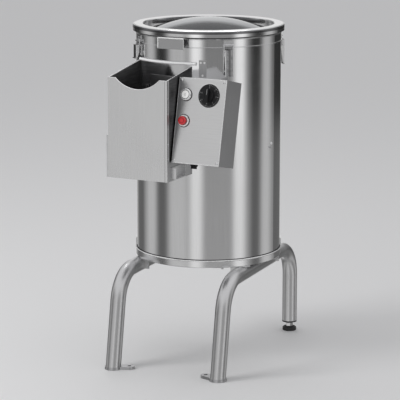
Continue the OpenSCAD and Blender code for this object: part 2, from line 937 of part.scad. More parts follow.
module main_shaft() {
    color(dark_steel) shift() {
        rod(shaft_d / 2, pulley_z - 6, disc_z + disc_t);
        rod(8, disc_z + disc_t - 1, disc_z + disc_t + 18);
        // Domed nut that clamps the disc
        translate([0, 0, disc_z + disc_t + 4 + skin]) rotate_extrude()
            polygon([[8 + skin, 0], [22, 0], [21, 6], [16, 13], [8 + skin, 16]]);
    }
}

module bearings() {
    color(steel) shift() for (z = [housing_low_z + 4, floor_z - bearing_t - 4])
        pipe(bearing_r - skin, shaft_d / 2 + run, z, z + bearing_t);
}

module bearing_housing() {
    color(dark_steel) shift() difference() {
        union() {
            rod(36, housing_low_z, floor_z - skin);
            rod(70, floor_z - 8, floor_z - skin);
        }
        rod(shaft_d / 2 + 3, housing_low_z - 1, floor_z + 1);
        rod(bearing_r, housing_low_z + 4, housing_low_z + 4 + bearing_t);
        rod(bearing_r, floor_z - bearing_t - 4, floor_z + 1);
    }
}

// Disc with three rounded waves that toss the potatoes
module peeling_disc() {
    wave_r = 40;
    wave_out = 22;
    color(grit) shift() difference() {
        union() {
            rod(disc_d / 2, disc_z, disc_z + disc_t);
            intersection() {
                for (a = [0, 120, 240])
                    rotate([0, 0, a]) translate([0, 0, disc_z + disc_t + wave_out - wave_r - 10])
                        rotate([0, 90, 0]) cylinder(r = wave_r, h = disc_d);
                pipe(disc_d / 2, 36, disc_z, disc_z + 60);
            }
            rod(34, disc_z, disc_z + disc_t + 4);
            // Sweepers under the disc that push the peel to the drain
            for (a = [60, 180, 300])
                rotate([0, 0, a]) translate([60, -3, disc_z - 9]) cube([115, 6, 9.5]);
        }
        rod(shaft_d / 2 + skin, disc_z - 5, disc_z + disc_t + skin);
        rod(8 + skin, disc_z, disc_z + 60);
    }
}

module pulley(r, bore) {
    difference() {
        rotate_extrude() polygon([
            [0, 0], [r, 0], [r, 3], [r - 8, 7], [r - 8, pulley_t - 7],
            [r, pulley_t - 3], [r, pulley_t], [0, pulley_t]
        ]);
        translate([0, 0, -1]) cylinder(r = bore, h = pulley_t + 2);
    }
}

module big_pulley() {
    color(dark_steel) shift() translate([0, 0, pulley_z]) difference() {
        pulley(big_d / 2, shaft_d / 2 + skin);
        for (a = [0 : 60 : 300])
            rotate([0, 0, a]) translate([42, 0, -1]) cylinder(r = 14, h = pulley_t + 2);
    }
}

module motor_pulley() {
    color(dark_steel) shift() translate([motor_x, motor_y, 0]) {
        translate([0, 0, pulley_z]) pulley(small_d / 2, 7 + skin);
        rod(7, motor_top_z - 30, pulley_z + pulley_t);
    }
}

// Loop round both pulleys: two arcs and two straight strands
module drive_belt() {
    centres = sqrt(motor_x * motor_x + motor_y * motor_y);
    slope = asin((big_d - small_d) / 2 / centres);
    big_in = big_d / 2 - 8 + play;
    small_in = small_d / 2 - 8 + play;
    belt_t = 8.5;
    belt_w = pulley_t - 14.4;
    color(rubber) shift() rotate([0, 0, atan2(motor_y, motor_x)])
        translate([0, 0, pulley_z + 7.2]) {
            rotate([0, 0, 90 - slope]) rotate_extrude(angle = 180 + 2 * slope)
                translate([big_in, 0]) square([belt_t, belt_w]);
            translate([centres, 0, 0]) rotate([0, 0, slope - 90])
                rotate_extrude(angle = 180 - 2 * slope)
                    translate([small_in, 0]) square([belt_t, belt_w]);
            for (side = [0, 1])
                mirror([0, side, 0]) rotate([0, 0, -slope]) translate([0, big_in, 0])
                    cube([centres * cos(slope), belt_t, belt_w]);
        }
}

module motor() {
    color([0.3, 0.34, 0.38]) shift() translate([motor_x, motor_y, 0]) difference() {
        union() {
            rod(motor_r - 6, motor_low_z, motor_top_z);
            for (a = [0 : 20 : 340])
                rotate([0, 0, a]) translate([motor_r - 10, -1.5, motor_low_z + 20])
                    cube([10, 3, 90]);
            rod(motor_r, motor_top_z - 10, motor_top_z);
            rod(motor_r - 2, motor_low_z, motor_low_z + 14);
        }
        rod(7 + run, motor_top_z - 31, motor_top_z + 1);
    }
}

module motor_plate() {
    color(dark_steel) shift() difference() {
        rod(inner_r - skin, mount_z, mount_z + 5);
        rod(20, mount_z - 1, mount_z + 6);
        translate([motor_x, motor_y, 0]) rod(25, mount_z - 1, mount_z + 6);
        for (a = [30, 90, 150, 210])
            rotate([0, 0, a]) translate([110, 0, 0]) rod(42, mount_z - 1, mount_z + 6);
    }
}

drum_shell();
base_band();
base_plate();
collar_ring();
chamber_floor();
abrasive_liner();
water_inlet();
drain_spigot();
right_leg_tube();
left_leg_tube();
tube_plugs();
leg_saddles();
front_feet();
rear_foot_stud();
rear_foot_pad();
outlet_chute();
chute_fittings();
fixed_seals();
outlet_door();
door_hardware();
door_handle();
control_box();
control_face();
face_screws();
box_bracket();
cable_gland();
timer_dial();
timer_knob();
switchgear();
button_rings();
start_button();
stop_button();
lid_rim();
lid_seals();
lid_window();
lid_handle();
lid_hinge();
hinge_bracket();
switch_housing();
switch_actuator();
latch_bases();
latch_strikes();
lever_front_left();
lever_front_right();
lever_rear_right();
lever_rear_left();
bail_front_left();
bail_front_right();
bail_rear_right();
bail_rear_left();
main_shaft();
bearings();
bearing_housing();
peeling_disc();
big_pulley();
motor();
motor_plate();
motor_pulley();
drive_belt();
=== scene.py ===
import math

import bmesh
import bpy
from mathutils import Matrix, Vector


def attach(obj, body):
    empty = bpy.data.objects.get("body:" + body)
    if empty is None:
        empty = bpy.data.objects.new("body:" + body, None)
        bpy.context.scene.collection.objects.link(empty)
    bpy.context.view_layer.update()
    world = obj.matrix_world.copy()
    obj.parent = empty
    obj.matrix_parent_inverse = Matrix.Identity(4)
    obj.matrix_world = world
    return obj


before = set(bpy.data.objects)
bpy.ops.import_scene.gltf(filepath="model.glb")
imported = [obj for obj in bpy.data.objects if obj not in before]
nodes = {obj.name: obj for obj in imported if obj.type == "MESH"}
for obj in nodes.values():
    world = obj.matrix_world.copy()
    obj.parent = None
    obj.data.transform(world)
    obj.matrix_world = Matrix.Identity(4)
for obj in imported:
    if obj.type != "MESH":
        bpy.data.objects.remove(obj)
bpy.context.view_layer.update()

# The drum's axis stands behind the origin
AXIS_Y = 0.016674
DRUM_R = 0.200
TILT = math.radians(12.5)
BOX_CORNER = Vector((0.052, -0.318 + AXIS_Y, 0.590))


# ---------------------------------------------------------------- shader maths

class Sock:
    """A shader socket or a number on which Python's operators make Math nodes."""

    def __init__(self, tree, link):
        self.tree = tree
        self.link = link

    def math(self, operation, *others):
        return self.tree.node(
            "ShaderNodeMath", {"operation": operation}, dict(enumerate((self, *others))))

    def __add__(self, other):
        return self.math("ADD", other)

    def __radd__(self, other):
        return self.math("ADD", other)

    def __sub__(self, other):
        return self.math("SUBTRACT", other)

    def __rsub__(self, other):
        return self.tree.node("ShaderNodeMath", {"operation": "SUBTRACT"}, {0: other, 1: self})

    def __mul__(self, other):
        return self.math("MULTIPLY", other)

    def __rmul__(self, other):
        return self.math("MULTIPLY", other)

    def __truediv__(self, other):
        return self.math("DIVIDE", other)

    def step(self, low, high):
        """0 below low, 1 above high, and smooth between."""
        return self.tree.node(
            "ShaderNodeMapRange", {"interpolation_type": "SMOOTHSTEP"},
            {"Value": self, "From Min": low, "From Max": high})


class Tree:
    """Builds one node tree."""

    def __init__(self, node_tree):
        self.tree = node_tree
        node_tree.nodes.clear()

    def fill(self, socket, value):
        """Links a socket, or sets its value."""
        if isinstance(value, Sock):
            self.tree.links.new(value.link, socket)
        elif hasattr(socket.default_value, "__len__") and not hasattr(value, "__len__"):
            socket.default_value = [value] * len(socket.default_value)
        elif hasattr(value, "__len__") and len(socket.default_value) == 4 and len(value) == 3:
            socket.default_value = (*value, 1)
        else:
            socket.default_value = value

    def make(self, kind, settings=None, inputs=None):
        """Adds a node with its settings, then its socket values or links."""
        n = self.tree.nodes.new(kind)
        for key, value in (settings or {}).items():
            setattr(n, key, value)
        for key, value in (inputs or {}).items():
            self.fill(n.inputs[key], value)
        return n

    def node(self, kind, settings=None, inputs=None, out=0):
        n = self.make(kind, settings, inputs)
        return Sock(self, n.outputs[out])

    def place(self):
        return self.node("ShaderNodeTexCoord", out="Object")

    def moved(self, scale=(1, 1, 1), rotation=(0, 0, 0)):
        return self.node("ShaderNodeMapping", {}, {
            "Vector": self.place(), "Scale": scale, "Rotation": rotation})

    def split(self, vector):
        """The x, y and z of a vector."""
        parts = self.make("ShaderNodeSeparateXYZ", {}, {0: vector})
        return [Sock(self, parts.outputs[i]) for i in range(3)]

    def noise(self, vector, scale, detail=4.0, roughness=0.55, distortion=0.0):
        return self.node("ShaderNodeTexNoise", {}, {
            "Vector": vector, "Scale": scale, "Detail": detail, "Roughness": roughness,
            "Distortion": distortion})

    def mix(self, factor, a, b):
        return self.node("ShaderNodeMix", {"data_type": "RGBA"}, {0: factor, 6: a, 7: b}, out=2)

    def bump(self, height, strength, distance):
        return self.node("ShaderNodeBump", {}, {
            "Height": height, "Strength": strength, "Distance": distance})


def material(name, build):
    m = bpy.data.materials.new(name)
    m.use_nodes = True
    tree = Tree(m.node_tree)
    shader = tree.make("ShaderNodeBsdfPrincipled")
    output = tree.make("ShaderNodeOutputMaterial")
    tree.tree.links.new(shader.outputs[0], output.inputs[0])

    def put(socket, value):
        tree.fill(shader.inputs[socket], value)

    build(tree, put)
    return m


# ---------------------------------------------------------------- finishes

# Side walls and front of the chute; angles of the latches from the front, and their radius
LEFT_X, RIGHT_X = -0.129, 0.049
FRONT_Y = -0.335 + AXIS_Y
FRONT_LATCH, REAR_LATCH = 42, 132
LATCH_R = 0.205


def off_axis(x, y):
    """Distance from the drum's axis."""
    back = y - AXIS_Y
    return (x * x + back * back).math("SQRT")


def scaled(colour, factor):
    return [c * factor for c in colour]


def brushed(name, colour, grain, rough, smudge=0.08, depth=0.12, metallic=1.0):
    """Ground stainless sheet: fine scratches along one direction, faint smudges and wipe marks."""

    def build(t, put):
        lines = t.noise(t.moved(scale=grain), 1.0, 6.0, 0.7)
        fine = t.noise(t.moved(scale=scaled(grain, 2.7)), 1.0, 3.0, 0.6)
        cloud = t.noise(t.place(), 7.0, 5.0, 0.6, 0.4)
        spots = t.noise(t.place(), 60.0, 3.0, 0.5)
        streak = lines * 0.6 + fine * 0.4
        low = scaled(colour, 0.9)
        tone = t.mix(streak.step(0.3, 0.7), low, colour)
        dull = scaled(colour, 0.93)
        put("Base Color", t.mix(cloud.step(0.45, 0.75) * 0.5, tone, dull))
        dulling = cloud.step(0.4, 0.8) * smudge
        put("Roughness", streak * 0.14 + dulling + spots * 0.03 + (rough - 0.09))
        put("Metallic", metallic)
        put("Normal", t.bump(streak, depth, 0.0002))

    return material(name, build)


def rim_sheet(name, colour, shade):
    """Spun steel of the lid's rim, with turning marks, and a rougher outer skirt painted dark as
    shade.
    """

    def build(t, put):
        x, y, z = t.split(t.place())
        r = off_axis(x, y)
        turning = r.math("MULTIPLY", 9000).math("SINE") * 0.5 + 0.5
        cloud = t.noise(t.place(), 18.0, 5.0, 0.6, 0.4)
        scratch = t.noise(t.moved(scale=(160, 160, 900)), 1.0, 5.0, 0.7)
        # Painted shade: the outer skirt band takes the dark second colour
        skirt = r.step(0.2066, 0.2084) * z.step(0.9145, 0.9165) * (1 - z.step(0.9225, 0.9245))
        top = t.mix(cloud.step(0.4, 0.7) * 0.4, colour, scaled(colour, 0.88))
        side = t.mix(scratch.step(0.35, 0.65), shade, scaled(shade, 1.25))
        put("Base Color", t.mix(skirt, top, side))
        put("Roughness", 0.09 + turning * 0.03 + scratch * 0.06 + skirt * 0.08)
        put("Metallic", 1.0)
        put("Normal", t.bump(turning * 0.3 + scratch * 0.7, 0.03, 0.0002))

    return material(name, build)


def chute_sheet(name):
    """Ground sheet of the chute: light front, painted shade on the right wall beside the box, on
    the inside and in a crease line on the front, and a lighter strip by the fold.
    """

    def build(t, put):
        x, y, z = t.split(t.place())
        lines = t.noise(t.moved(scale=(900, 900, 9)), 1.0, 6.0, 0.7)
        across = t.noise(t.moved(scale=(14, 14, 420)), 1.0, 6.0, 0.7)
        cloud = t.noise(t.place(), 7.0, 5.0, 0.6, 0.4)
        front = 1 - y.step(FRONT_Y + 0.0004, FRONT_Y + 0.0009)
        right = x.step(RIGHT_X - 0.0008, RIGHT_X - 0.0003)
        left = 1 - x.step(LEFT_X + 0.0003, LEFT_X + 0.0008)
        fold = y.step(FRONT_Y + 0.0085, FRONT_Y + 0.0095)
        strip = y.step(FRONT_Y + 0.0035, FRONT_Y + 0.0045) * (1 - fold)
        # Painted shade: the inside is darker than the front
        inside = t.mix(across.step(0.3, 0.7), (0.20, 0.20, 0.205), (0.36, 0.36, 0.365))
        # Painted shade: the right wall is dark above z 0.59, where the box stands beside it, and
        # lighter below
        wall = t.mix(across.step(0.35, 0.65), (0.06, 0.06, 0.062), (0.12, 0.12, 0.122))
        open_wall = t.mix(across, (0.48, 0.48, 0.485), (0.6, 0.6, 0.605))
        wall = t.mix(z.step(0.583, 0.60), open_wall, wall)
        side = t.mix(strip, wall, (0.62, 0.62, 0.625))
        left_side = t.mix(cloud, (0.5, 0.5, 0.505), (0.6, 0.6, 0.605))
        # Painted shade: a dark crease line near the front's right edge
        crease = (x.step(RIGHT_X - 0.0085, RIGHT_X - 0.0078)
                  * (1 - x.step(RIGHT_X - 0.0068, RIGHT_X - 0.0061)))
        plain = t.mix(lines.step(0.3, 0.7), (0.82, 0.82, 0.825), (0.88, 0.88, 0.885))
        face = t.mix(crease * 0.75, plain, (0.42, 0.42, 0.425))
        tone = t.mix(left, t.mix(right, inside, side), left_side)
        put("Base Color", t.mix(front, tone, face))
        put("Roughness", lines * 0.1 + cloud.step(0.4, 0.8) * 0.05 + (1 - front) * 0.1 + 0.2)
        put("Metallic", 1.0)
        put("Normal", t.bump(lines * front * 0.3 + across * (1 - front), 0.05, 0.0002))

    return material(name, build)


def fittings_sheet(name, colour, dull):
    """Brushed fittings: light rail and bracket on the chute, duller bolted plate on the drum."""

    def build(t, put):
        x, y, z = t.split(t.place())
        lines = t.noise(t.moved(scale=(24, 24, 500)), 1.0, 6.0, 0.7)
        cloud = t.noise(t.place(), 30.0, 5.0, 0.6, 0.4)
        out = off_axis(x, y)
        head = out.step(0.2045, 0.2052) * (1 - out.step(0.209, 0.21))
        plate = z.step(0.795, 0.8) * x.step(0.05, 0.055)
        tone = t.mix(plate, colour, t.mix(head, dull, (0.95, 0.95, 0.95)))
        wear = lines.step(0.35, 0.7) * 0.3 + cloud.step(0.5, 0.8) * 0.2
        put("Base Color", t.mix(wear, tone, dull))
        put("Roughness", lines * 0.12 + cloud * 0.08 + 0.2)
        put("Metallic", 1.0)
        put("Normal", t.bump(lines, 0.05, 0.0002))

    return material(name, build)


def latch_sheet(name, half, colour):
    """Pressed latch parts: edges painted near white as a highlight, beside a middle darkened by
    random grime and by a channel of painted shade, from the latch's centre out.
    """

    def build(t, put):
        x, y, z = t.split(t.place())
        forward = AXIS_Y - y
        turn = x.math("ABSOLUTE").math("ARCTAN2", forward)
        near = (turn - math.radians(FRONT_LATCH)).math("ABSOLUTE")
        far = (turn - math.radians(REAR_LATCH)).math("ABSOLUTE")
        off = near.math("MINIMUM", far) * LATCH_R
        # Painted highlight: the edges are near white and less metallic
        edge = off.step(half - 0.0022, half - 0.0012)
        # Painted shade: a darker channel down the middle
        channel = 1 - off.step(0.0022, 0.0034)
        scratch = t.noise(t.moved(scale=(300, 300, 60)), 1.0, 5.0, 0.7)
        grime = t.noise(t.place(), 90.0, 4.0, 0.6)
        low = z.step(0.8, 0.9)
        dull = t.mix(grime.step(0.4, 0.75), colour, scaled(colour, 0.6))
        middle = t.mix(channel * 0.75, dull, scaled(colour, 0.35))
        put("Base Color", t.mix(edge, middle, (0.93, 0.93, 0.93)))
        put("Roughness", scratch * 0.1 + grime * 0.1 + low * 0.04 + 0.12)
        put("Metallic", 1 - edge * 0.45)
        put("Normal", t.bump(scratch * 0.6 + grime * 0.4, 0.08, 0.0002))

    return material(name, build)


def hard_steel(name, colour, rough, metallic=1.0, depth=0.1):
    """Small polished hardware with handling scratches and dull edges."""

    def build(t, put):
        scratch = t.noise(t.moved(scale=(900, 260, 120)), 1.0, 5.0, 0.7, 0.8)
        wear = t.noise(t.place(), 140.0, 4.0, 0.6)
        put("Base Color", t.mix(wear.step(0.5, 0.8) * 0.6, colour, scaled(colour, 0.78)))
        put("Roughness", scratch * 0.12 + wear * 0.14 + (rough - 0.1))
        put("Metallic", metallic)
        put("Normal", t.bump(scratch * 0.5 + wear * 0.5, depth, 0.0002))

    return material(name, build)


def grit(name):
    """Mineral grit bonded in dark resin, with brighter grains and worn crests."""

    def build(t, put):
        grains = t.make(
            "ShaderNodeTexVoronoi", {"feature": "F1"}, {"Vector": t.place(), "Scale": 520.0})
        cells, hue = (Sock(t, grains.outputs[i]) for i in range(2))
        broad = t.noise(t.place(), 24.0, 4.0, 0.6)
        bright = t.node("ShaderNodeSeparateColor", {}, {0: hue}).step(0.72, 0.95)
        dark = (0.045, 0.042, 0.04)
        grain = t.mix(bright, dark, (0.32, 0.31, 0.29))
        put("Base Color", t.mix(broad.step(0.5, 0.8) * 0.4, grain, (0.11, 0.105, 0.1)))
        put("Roughness", 0.92 - bright * 0.45)
        put("Normal", t.bump(1 - cells, 0.9, 0.0012))

    return material(name, build)


def rubber(name, colour=(0.022, 0.022, 0.023)):
    """Matt black rubber with bloom and dust in its pores."""

    def build(t, put):
        pores = t.noise(t.place(), 700.0, 3.0, 0.6)
        bloom = t.noise(t.place(), 30.0, 4.0, 0.6)
        put("Base Color", t.mix(bloom.step(0.45, 0.8) * 0.5, colour, scaled(colour, 2.4)))
        put("Roughness", 0.6 + bloom * 0.25)
        put("Normal", t.bump(pores, 0.25, 0.0003))

    return material(name, build)


def moulded(name, colour, rough, coat=0.0, shine=0.5, painted_glow=0.0):
    """Moulded plastic with a fine spark-eroded texture and slight tone changes."""

    def build(t, put):
        texture = t.noise(t.place(), 1500.0, 2.0, 0.5)
        tone = t.noise(t.place(), 22.0, 3.0, 0.5)
        put("Base Color", t.mix(tone.step(0.4, 0.8) * 0.35, colour, scaled(colour, 0.82)))
        put("Roughness", rough + tone * 0.12 - 0.05)
        put("Normal", t.bump(texture, 0.06, 0.0002))
        put("Coat Weight", coat)
        put("Specular IOR Level", shine)
        # Painted light: an emission in the part's own colour, which makes the start cap look
        # brighter
        put("Emission Color", colour)
        put("Emission Strength", painted_glow)

    return material(name, build)


def paint(name, colour):
    """Sprayed enamel with orange peel and chips of primer."""

    def build(t, put):
        peel = t.noise(t.place(), 350.0, 2.0, 0.5)
        chip = t.noise(t.place(), 55.0, 6.0, 0.7).step(0.68, 0.72)
        put("Base Color", t.mix(chip, colour, (0.4, 0.38, 0.35)))
        put("Roughness", 0.35 + peel * 0.12 + chip * 0.25)
        put("Normal", t.bump(peel, 0.15, 0.0004))

    return material(name, build)


def cast(name, colour):
    """Machined dark steel with turning marks and oil stains."""

    def build(t, put):
        turning = t.noise(t.moved(scale=(40, 40, 1400)), 1.0, 3.0, 0.6)
        stain = t.noise(t.place(), 26.0, 5.0, 0.65)
        put("Base Color", t.mix(stain.step(0.45, 0.7), colour, scaled(colour, 0.45)))
        put("Roughness", 0.32 + stain * 0.25)
        put("Metallic", 0.9)
        put("Normal", t.bump(turning, 0.2, 0.0003))

    return material(name, build)


def window_sheet(name):
    """Clear polycarbonate, a little smoked, with fine wipe scratches and a water haze, and a light
    sheen painted on as reflection where it turns away from view.
    """

    def build(t, put):
        wipe = t.noise(t.moved(scale=(300, 30, 30), rotation=(0, 0, 0.5)), 1.0, 5.0, 0.7, 0.5)
        haze = t.noise(t.place(), 14.0, 4.0, 0.6)
        # Painted reflection: a light grey colour and more opacity towards grazing angles
        facing = t.node("ShaderNodeLayerWeight", {}, {"Blend": 0.5}, out=1)
        sheen = facing.step(0.67, 0.78)
        put("Base Color", t.mix(sheen, (0.035, 0.038, 0.042), (0.42, 0.43, 0.44)))
        put("Roughness", 0.04 + wipe.step(0.6, 0.9) * 0.1 + haze * 0.03)
        put("IOR", 1.6)
        put("Alpha", 0.72 + sheen * 0.25 + haze.step(0.4, 0.8) * 0.03)
        put("Normal", t.bump(wipe, 0.03, 0.0002))

    return material(name, build)


drum_steel = brushed("drum_steel", (0.74, 0.74, 0.745), (700, 700, 7), 0.12, 0.03, 0.05)
band_steel = brushed("band_steel", (0.8, 0.8, 0.805), (260, 260, 900), 0.16, 0.04, 0.05)
handle_steel = brushed("handle_steel", (0.5, 0.5, 0.505), (900, 12, 12), 0.2, 0.05, 0.06)
# The rim's second colour is the painted shade on its outer skirt
rim_steel = rim_sheet("rim_steel", (0.78, 0.78, 0.785), (0.17, 0.17, 0.175))
panel_steel = brushed("panel_steel", (0.86, 0.86, 0.865), (900, 900, 9), 0.27, 0.05, 0.05)
face_steel = brushed("face_steel", (0.88, 0.88, 0.885), (10, 900, 900), 0.3, 0.05, 0.05)
chute_steel = chute_sheet("chute_steel")
door_steel = brushed("door_steel", (0.34, 0.34, 0.345), (24, 24, 500), 0.4, 0.05, 0.08)
bolted_steel = fittings_sheet("bolted_steel", (0.86, 0.86, 0.865), (0.42, 0.42, 0.425))
case_steel = brushed("case_steel", (0.62, 0.62, 0.63), (900, 900, 9), 0.3, 0.05, 0.06)
tube_steel = brushed("tube_steel", (0.68, 0.68, 0.685), (240, 240, 240), 0.31, 0.05, 0.08)
inner_steel = brushed("inner_steel", (0.5, 0.5, 0.51), (500, 500, 12), 0.28, 0.06, 0.08)
# Near white and only half metallic, so that thin edges, hems and the dial's ring read bright:
# painted highlight
edge_steel = hard_steel("edge_steel", (0.97, 0.97, 0.97), 0.24, 0.5, 0.02)
polished = hard_steel("polished_steel", (0.82, 0.82, 0.83), 0.2)
# Flat white for the lip's rolled bead: painted highlight
bead_painted_highlight = moulded("bead_painted_highlight", (1.0, 1.0, 1.0), 0.3)
foot_steel = hard_steel("foot_steel", (0.5, 0.5, 0.51), 0.3)
base_steel = latch_sheet("latch_base_steel", 0.013, (0.5, 0.5, 0.51))
lever_steel = latch_sheet("latch_lever_steel", 0.0106, (0.62, 0.62, 0.63))
# Near white and only half metallic, so that the button rings read bright: painted highlight
ring_steel = hard_steel("ring_steel", (0.96, 0.96, 0.96), 0.14, 0.55)
abrasive = grit("abrasive_grit")
black_rubber = rubber("black_rubber")
belt_rubber = rubber("belt_rubber", (0.03, 0.03, 0.03))
dial_black = moulded("dial_black", (0.014, 0.014, 0.015), 0.5, 0.0, 0.25)
knob_black = moulded("knob_black", (0.014, 0.014, 0.015), 0.55, 0.0, 0.22)
# The start cap carries a faint painted emission to look brighter
white_cap = moulded("white_cap", (0.95, 0.95, 0.93), 0.28, 0.4, 0.5, 0.22)
red_cap = moulded("red_cap", (0.70, 0.022, 0.03), 0.26, 0.4)
red_groove = moulded("red_groove", (0.16, 0.008, 0.012), 0.5)
print_grey = moulded("print_grey", (0.30, 0.30, 0.30), 0.5)
gear_grey = moulded("switch_grey", (0.2, 0.21, 0.22), 0.45)
motor_paint = paint("motor_enamel", (0.07, 0.1, 0.14))
drive_cast = cast("drive_steel", (0.3, 0.31, 0.33))
clear_window = window_sheet("clear_window")

FINISH = {
    "drum_shell": drum_steel, "base_band": band_steel, "base_plate": inner_steel,
    "collar_ring": drum_steel, "chamber_floor": inner_steel, "abrasive_liner": abrasive,
    "water_inlet": polished, "drain_spigot": polished, "right_leg_tube": tube_steel,
    "left_leg_tube": tube_steel, "tube_plugs": black_rubber, "leg_saddles": tube_steel,
    "front_feet": foot_steel, "rear_foot_stud": polished, "rear_foot_pad": black_rubber,
    "outlet_chute": chute_steel, "chute_fittings": bolted_steel, "fixed_seals": black_rubber,
    "outlet_door": door_steel, "door_hardware": polished, "door_handle": polished,
    "control_box": case_steel, "control_face": face_steel, "face_screws": polished,
    "box_bracket": case_steel, "cable_gland": knob_black, "timer_dial": dial_black,
    "timer_knob": knob_black, "switchgear": gear_grey, "button_rings": ring_steel,
    "start_button": white_cap, "stop_button": red_cap, "lid_rim": rim_steel,
    "lid_seals": black_rubber, "lid_window": clear_window, "lid_handle": handle_steel,
    "lid_hinge": polished, "hinge_bracket": polished, "switch_housing": panel_steel,
    "switch_actuator": panel_steel, "latch_bases": base_steel, "latch_strikes": polished,
    "main_shaft": drive_cast, "bearings": polished, "bearing_housing": drive_cast,
    "peeling_disc": abrasive, "big_pulley": drive_cast, "motor": motor_paint,
    "motor_plate": inner_steel, "motor_pulley": drive_cast, "drive_belt": belt_rubber,
}
for corner in ("front_left", "front_right", "rear_right", "rear_left"):
    FINISH["lever_" + corner] = lever_steel
    FINISH["bail_" + corner] = polished


def dress(obj, finish):
    obj.data.materials.clear()
    obj.data.materials.append(finish)


for name, obj in nodes.items():
    dress(obj, FINISH[name])


# ---------------------------------------------------------------- making pieces

def settle(name, mesh, finish, body, smooth):
    """Makes a mesh a piece that rides on a body."""
    for face in mesh.polygons:
        face.use_smooth = smooth
    obj = bpy.data.objects.new(name, mesh)
    bpy.context.collection.objects.link(obj)
    dress(obj, finish)
    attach(obj, body)


def piece(name, bm, finish, body, smooth=True):
    """Turns a bmesh into a piece that rides on a body."""
    bmesh.ops.remove_doubles(bm, verts=bm.verts, dist=1e-6)
    bmesh.ops.recalc_face_normals(bm, faces=bm.faces)
    mesh = bpy.data.meshes.new(name)
    bm.to_mesh(mesh)
    bm.free()
    settle(name, mesh, finish, body, smooth)


def sweep(bm, path, radius, sides=10, closed=False):
    """Round bar along a list of points, with domed ends."""
    points = [Vector(p) for p in path]
    rings = []
    count = len(points)
    last_side = None
    for i, p in enumerate(points):
        ahead = points[(i + 1) % count] if closed or i < count - 1 else p
        behind = points[i - 1] if closed or i > 0 else p
        along = (ahead - behind).normalized()
        if last_side is None:
            last_side = along.orthogonal().normalized()
        side = (last_side - along * last_side.dot(along)).normalized()
        last_side = side
        up = along.cross(side)
        rings.append([
            bm.verts.new(p + radius * (math.cos(a) * side + math.sin(a) * up))
            for a in (2 * math.pi * k / sides for k in range(sides))])
    pairs = list(zip(rings, rings[1:])) + ([(rings[-1], rings[0])] if closed else [])
    for a, b in pairs:
        for k in range(sides):
            bm.faces.new((a[k], a[(k + 1) % sides], b[(k + 1) % sides], b[k]))
    if not closed:
        for ring, tip in ((rings[0], points[0] - points[1]), (rings[-1], points[-1] - points[-2])):
            centre = sum((v.co for v in ring), Vector()) / sides
            top = bm.verts.new(centre + tip.normalized() * radius * 0.6)
            for k in range(sides):
                bm.faces.new((ring[k], ring[(k + 1) % sides], top))


def lathe(bm, profile, centre, axis, steps=48):
    """Turns a closed (radius, height) profile about an axis through centre."""
    turn = Vector((0, 0, 1)).rotation_difference(Vector(axis)).to_matrix()
    rings = []
    for r, h in profile:
        if r < 1e-7:
            rings.append([bm.verts.new(Vector(centre) + turn @ Vector((0, 0, h)))])
        else:
            rings.append([
                bm.verts.new(Vector(centre) + turn @ Vector((r * math.cos(a), r * math.sin(a), h)))
                for a in (2 * math.pi * k / steps for k in range(steps))])
    for a, b in zip(rings, rings[1:]):
        for k in range(steps):
            j = (k + 1) % steps
            ring = [a[k % len(a)], a[j % len(a)], b[j % len(b)], b[k % len(b)]]
            unique = []
            for v in ring:
                if v not in unique:
                    unique.append(v)
            if len(unique) > 2:
                bm.faces.new(unique)


def around(angle, r, z):
    """Point about the drum's axis: angle in degrees from the front towards the right."""
    a = math.radians(angle)
    return Vector((r * math.sin(a), -r * math.cos(a) + AXIS_Y, z))


def outward(angle):
    a = math.radians(angle)
    return Vector((math.sin(a), -math.cos(a), 0))


def sideways(angle):
    a = math.radians(angle)
    return Vector((math.cos(a), math.sin(a), 0))


def on_face(u, v, out=0.0):
    """Point on the control face: u across, v up the face, out of the face, in metres."""
    y = v * math.sin(TILT) - out * math.cos(TILT)
    z = v * math.cos(TILT) + out * math.sin(TILT)
    return BOX_CORNER + Vector((u, y, z))


FACE_OUT = (on_face(0, 0, 1) - on_face(0, 0, 0)).normalized()
FACE_UP = (on_face(0, 1, 0) - on_face(0, 0, 0)).normalized()
FACE_ACROSS = FACE_UP.cross(FACE_OUT)


# ---------------------------------------------------------------- repeated pieces

def fresh_tree(name, inputs):
    """Empty Geometry Nodes tree with named inputs."""
    tree = bpy.data.node_groups.new(name, "GeometryNodeTree")
    tree.interface.new_socket("Geometry", in_out="INPUT", socket_type="NodeSocketGeometry")
    tree.interface.new_socket("Geometry", in_out="OUTPUT", socket_type="NodeSocketGeometry")
    for label, kind, value in inputs:
        socket = tree.interface.new_socket(label, in_out="INPUT", socket_type=kind)
        if kind != "NodeSocketObject":
            socket.default_value = value
    start = tree.nodes.new("NodeGroupInput")
    end = tree.nodes.new("NodeGroupOutput")
    return tree, start, end


def link(tree, a, out, b, into):
    tree.links.new(a.outputs[out], b.inputs[into])


def evaluated(name, base, tree, values, finish, body, smooth=True):
    """Runs a tree on a base mesh and keeps the result as a plain mesh."""
    holder = bpy.data.objects.new(name + "_base", base)
    bpy.context.collection.objects.link(holder)
    modifier = holder.modifiers.new("repeat", "NODES")
    modifier.node_group = tree
    for item in tree.interface.items_tree:
        if item.item_type == "SOCKET" and item.in_out == "INPUT" and item.name in values:
            modifier[item.identifier] = values[item.name]
    depsgraph = bpy.context.evaluated_depsgraph_get()
    mesh = bpy.data.meshes.new_from_object(holder.evaluated_get(depsgraph))
    holder.modifiers.clear()
    bpy.data.objects.remove(holder)
    mesh.name = name
    settle(name, mesh, finish, body, smooth)


